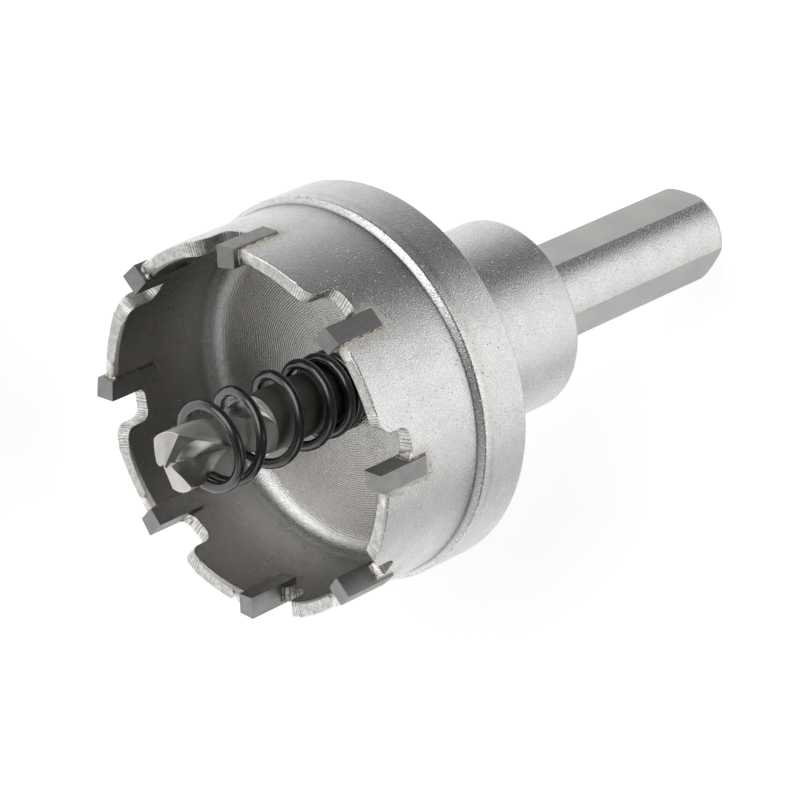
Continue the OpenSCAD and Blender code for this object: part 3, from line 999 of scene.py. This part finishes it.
class SAW_OT_drill(bpy.types.Operator):
    """Grind the pilot drill's flutes and split point"""

    bl_idname = "saw.drill"
    bl_label = "Pilot drill"

    def execute(self, context):
        drill, cup = context.scene.saw_drill, context.scene.saw_cup
        colour = context.scene.saw_finishes.tool_steel
        finish = tool_steel(colour, mm(drill.flute_end), mm(drill.drill_d) / 2)
        bm = self.fluted(drill)
        for side in (0, math.pi):
            self.grind(bm, drill, side)
        piece = as_object("drill", bm, finish)
        for side in (0, math.pi):
            cut(piece, self.gash(drill, side, finish))
        join(piece, self.shank(drill, mm(cup.bore_z), finish))
        smooth(piece, 32)
        seat(piece, "tool_steel", "pilot_drill")
        return {"FINISHED"}

    def section(self, drill, first, height):
        """Both lands and flutes, with the first cutting corner at that angle."""
        land = [drill.land * i / 20 for i in range(20)]
        flute = [drill.land + (math.pi - 0.002 - drill.land) * i / 44 for i in range(45)]
        points = []
        for angle in [a + side for side in (0, math.pi) for a in land + flute]:
            radius = flute_radius(drill, angle % math.pi)
            points.append((radius * math.cos(angle + first), radius * math.sin(angle + first), height))
        return points

    def fluted(self, drill, ahead=3.0, steps=150):
        """The section, wound from ahead of the point back to where the flutes have run out."""
        front, end = -mm(drill.reach) - ahead, -mm(drill.flute_end)
        rise = (end - front) / steps
        twist = math.tau / mm(drill.lead)
        first = drill.corner + (front + mm(drill.reach)) * twist
        bm = bmesh.new()
        verts, edges = outline(bm, self.section(drill, first, front))
        bmesh.ops.spin(
            bm, geom=verts + edges, cent=(0, 0, 0), axis=(0, 0, 1), dvec=(0, 0, rise),
            angle=twist * (end - front), steps=steps)
        full = mm(drill.drill_d) / 2 - BACK_CLEARANCE
        for vert in bm.verts:
            share = min(1, max(0, (end - vert.co.z) / mm(drill.flute_fade)))
            flat = Vector((vert.co.x, vert.co.y, 0))
            flat *= (full + (flat.length - full) * math.sqrt(share)) / flat.length
            vert.co.x, vert.co.y = flat.x, flat.y
        ends = [e for e in bm.edges if e.is_boundary]
        bmesh.ops.edgenet_fill(bm, edges=[e for e in ends if e.verts[0].co.z < front + rise / 2])
        bmesh.ops.edgenet_fill(bm, edges=[e for e in ends if e.verts[0].co.z > end - rise / 2])
        bmesh.ops.recalc_face_normals(bm, faces=bm.faces[:])
        return bm

    def shank(self, drill, back, finish):
        """The plain shank, with the flat that the grub screw presses on."""
        radius, end = mm(drill.drill_d) / 2, -mm(drill.flute_end)
        profile = [(0, end), (radius, end), (radius, back), (0, back)]
        plain = as_object("drill_shank", turned(profile, BORE_STEPS), finish)
        flat, seat_l = radius - mm(drill.seat_depth), mm(drill.seat_l)
        bm = bmesh.new()
        verts = prism(bm, rectangle(flat, flat + CLEAR, 2 * CLEAR, -seat_l / 2), (0, 0, seat_l))
        turn = screw_place() @ Matrix.Rotation(-math.pi / 2, 4, "Y")
        bmesh.ops.transform(bm, matrix=turn, verts=verts)
        cut(plain, as_object("seat_cut", bm, finish))
        return plain

    def flank_slopes(self, drill):
        """How much a flank rises along its lip and behind it: flat at first, then round a cone."""
        slope = Vector((1 / math.tan(drill.point / 2), math.tan(drill.lip_relief)))
        slopes = [slope]
        steps = 4
        for step in range(1, steps + 1):
            turn = drill.flank * step / steps
            fall = math.tan(drill.gash_fall if step == steps else drill.flank_fall)
            out = Vector((math.cos(turn), math.sin(turn)))
            slope = out * slope.dot(out) + Vector((-out.y, out.x)) * fall
            slopes.append(slope)
        return slopes

    def point_frame(self, drill, side):
        """Where the flank's faces meet, beside the axis, with X along the lip and Y behind it."""
        web, radius = mm(drill.web) / 2, mm(drill.drill_d) / 2
        lip = math.sqrt(radius ** 2 - web ** 2)
        beside = 0.1
        height = -mm(drill.reach) - lip / math.tan(drill.point / 2)
        height += (web + beside) * math.tan(drill.lip_relief)
        turn = Matrix.Rotation(drill.corner + math.asin(web / radius) + side, 4, "Z")
        return turn @ Matrix.Translation((0, beside, height))

    def grind(self, bm, drill, side):
        """Grinds one flank of the point."""
        frame_at = self.point_frame(drill, side)
        for slope in self.flank_slopes(drill)[:-1]:
            normal = frame_at.to_3x3() @ Vector((slope.x, slope.y, -1))
            slice_off(bm, frame_at.translation, normal)

    def gash(self, drill, side, finish):
        """The wheel's path through the heel, which stops just past the axis."""
        slope = self.flank_slopes(drill)[-1]
        bm = bmesh.new()
        bmesh.ops.create_cube(bm, size=12)
        slice_off(bm, (-mm(drill.split), 0, 0), (-1, 0, 0))
        slice_off(bm, (0, 0, 0), (-slope.x, -slope.y, 1))
        bmesh.ops.transform(bm, matrix=self.point_frame(drill, side), verts=bm.verts[:])
        return as_object("gash", bm, finish)


def coil_rise(turn):
    """Distance from the spring's base after that many turns."""
    for (low, start), (high, end) in zip(COIL_RISES, COIL_RISES[1:]):
        if turn <= high:
            return start + (end - start) * (turn - low) / (high - low)
    return COIL_RISES[-1][1]


class SAW_OT_spring(bpy.types.Operator):
    """Coil the ejector spring and grind its ends"""

    bl_idname = "saw.spring"
    bl_label = "Ejector spring"

    def execute(self, context):
        spring, cup = context.scene.saw_spring, context.scene.saw_cup
        bm = self.coil(context.scene, mm(spring.wire_d) / 2)
        slice_off(bm, (0, 0, mm(cup.web_z)), (0, 0, 1))
        slice_off(bm, (0, 0, -mm(spring.reach)), (0, 0, -1))
        piece = as_object("spring", bm, black_wire(context.scene.saw_finishes.black_wire))
        smooth(piece, 45)
        seat(piece, "black_spring_steel", "ejector_spring")
        return {"FINISHED"}

    def wire_at(self, scene, turn, ground=0.42, play=0.03, blend=0.22):
        """Place of the wire after that many turns: closed on the drill, then wider to the front."""
        spring, wire = scene.saw_spring, mm(scene.saw_spring.wire_d)
        web, reach = mm(scene.saw_cup.web_z), mm(spring.reach)
        back_r = mm(scene.saw_drill.drill_d) / 2 + wire / 2 + play
        front_r = mm(spring.front_d) / 2 - wire / 2
        widened = min(1, max(0, (turn - 1) / 3))
        rise = (coil_rise(turn - blend) + 2 * coil_rise(turn) + coil_rise(turn + blend)) / 4
        inset = wire * ground
        z = web - inset - rise * (web + reach - 2 * inset) / COIL_RISES[-1][1]
        spin = Matrix.Rotation(spring.start + turn * math.tau, 4, "Z")
        return spin @ Matrix.Translation((back_r + (front_r - back_r) * widened, 0, z))

    def coil(self, scene, radius, steps=64):
        """Draws the wire's round section along the coil."""
        bm = bmesh.new()
        ring = bmesh.ops.create_circle(bm, segments=24, radius=radius)["verts"]
        bmesh.ops.rotate(bm, verts=ring, matrix=Matrix.Rotation(math.pi / 2, 3, "X"))
        edges = bm.edges[:]
        place = self.wire_at(scene, 0)
        bmesh.ops.transform(bm, matrix=place, verts=ring)
        bmesh.ops.edgenet_fill(bm, edges=edges)
        for step in range(1, round(scene.saw_spring.turns * steps) + 1):
            made = bmesh.ops.extrude_edge_only(bm, edges=edges)["geom"]
            edges = edges_in(made)
            last, place = place, self.wire_at(scene, step / steps)
            bmesh.ops.transform(bm, matrix=place @ last.inverted(), verts=verts_in(made))
        bmesh.ops.edgenet_fill(bm, edges=edges)
        bmesh.ops.recalc_face_normals(bm, faces=bm.faces[:])
        return bm


class SAW_OT_screw(bpy.types.Operator):
    """Finish the grub screw"""

    bl_idname = "saw.screw"
    bl_label = "Grub screw"

    def execute(self, context):
        finish = black_wire(context.scene.saw_finishes.black_wire)
        finish.name = "blackened_screw"
        refinish(frame["nodes"]["grub_screw"], finish)
        return {"FINISHED"}


class SAW_OT_stage(bpy.types.Operator):
    """Set the floor, the light and the camera"""

    bl_idname = "saw.stage"
    bl_label = "Stage"

    def execute(self, context):
        scene = context.scene
        bm = bmesh.new()
        bmesh.ops.create_grid(bm, x_segments=1, y_segments=1, size=4.0)
        floor = as_object("floor", bm, pale_floor(scene.saw_finishes.floor))
        self.light(scene)
        camera = bpy.data.objects.new("camera", bpy.data.cameras.new("camera"))
        camera.data.sensor_width = 36.0
        camera.data.lens = CAMERA_LENS
        camera.data.clip_start = 0.01
        camera.location = CAMERA_PLACE
        camera.rotation_euler = [math.radians(a) for a in CAMERA_TURN]
        scene.collection.objects.link(camera)
        scene.camera = camera
        scene.view_settings.view_transform = "Standard"
        return {"FINISHED"}

    def light(self, scene):
        """A dim room with large softboxes, white where the camera looks past the floor."""
        world = bpy.data.worlds.new("studio")
        scene.world = world
        s = Shader(world)
        toward = s.add("ShaderNodeTexCoord").outputs["Generated"]
        level = ROOM_LEVEL
        for azimuth, elevation, full, ends, strength in SOFTBOXES:
            turn = Matrix.Rotation(math.radians(azimuth), 3, "Z") @ Matrix.Rotation(
                -math.radians(elevation), 3, "Y")
            facing = s.add(
                "ShaderNodeVectorMath", {0: toward, 1: turn @ Vector((1, 0, 0))},
                operation="DOT_PRODUCT").outputs["Value"]
            glow = s.ramp(
                facing, math.cos(math.radians(ends)), math.cos(math.radians(full)), 0.0, strength)
            level = s.plus(level, glow)
        level = s.math("MAXIMUM", level, s.add("ShaderNodeLightPath").outputs["Is Camera Ray"])
        back = s.add("ShaderNodeBackground", {"Color": (1, 1, 1, 1), "Strength": level})
        s.add("ShaderNodeOutputWorld", {"Surface": back.outputs[0]})


class SAW_PT_panel(bpy.types.Panel):
    """Lists the steps in the sidebar"""

    bl_label = "Hole saw"
    bl_space_type = "VIEW_3D"
    bl_region_type = "UI"
    bl_category = "Hole saw"

    def draw(self, context):
        for step in STEPS:
            self.layout.operator(step.bl_idname)


STEPS = (
    SAW_OT_stage, SAW_OT_body, SAW_OT_tips, SAW_OT_braze, SAW_OT_drill, SAW_OT_spring, SAW_OT_screw)
GROUPS = {
    "saw_cup": CupSizes, "saw_teeth": ToothSizes, "saw_drill": DrillSizes,
    "saw_spring": SpringSizes, "saw_finishes": Finishes}


def register():
    for made in (*GROUPS.values(), *STEPS, SAW_PT_panel):
        bpy.utils.register_class(made)
    for name, group in GROUPS.items():
        setattr(bpy.types.Scene, name, PointerProperty(type=group))


def unregister():
    for name in GROUPS:
        delattr(bpy.types.Scene, name)
    for made in (SAW_PT_panel, *reversed(STEPS), *reversed(GROUPS.values())):
        bpy.utils.unregister_class(made)


def main():
    register()
    bpy.ops.saw.stage()
    bpy.ops.saw.body()
    bpy.ops.saw.tips()
    bpy.ops.saw.braze()
    bpy.ops.saw.drill()
    bpy.ops.saw.spring()
    bpy.ops.saw.screw()


if __name__ == "__main__":
    main()
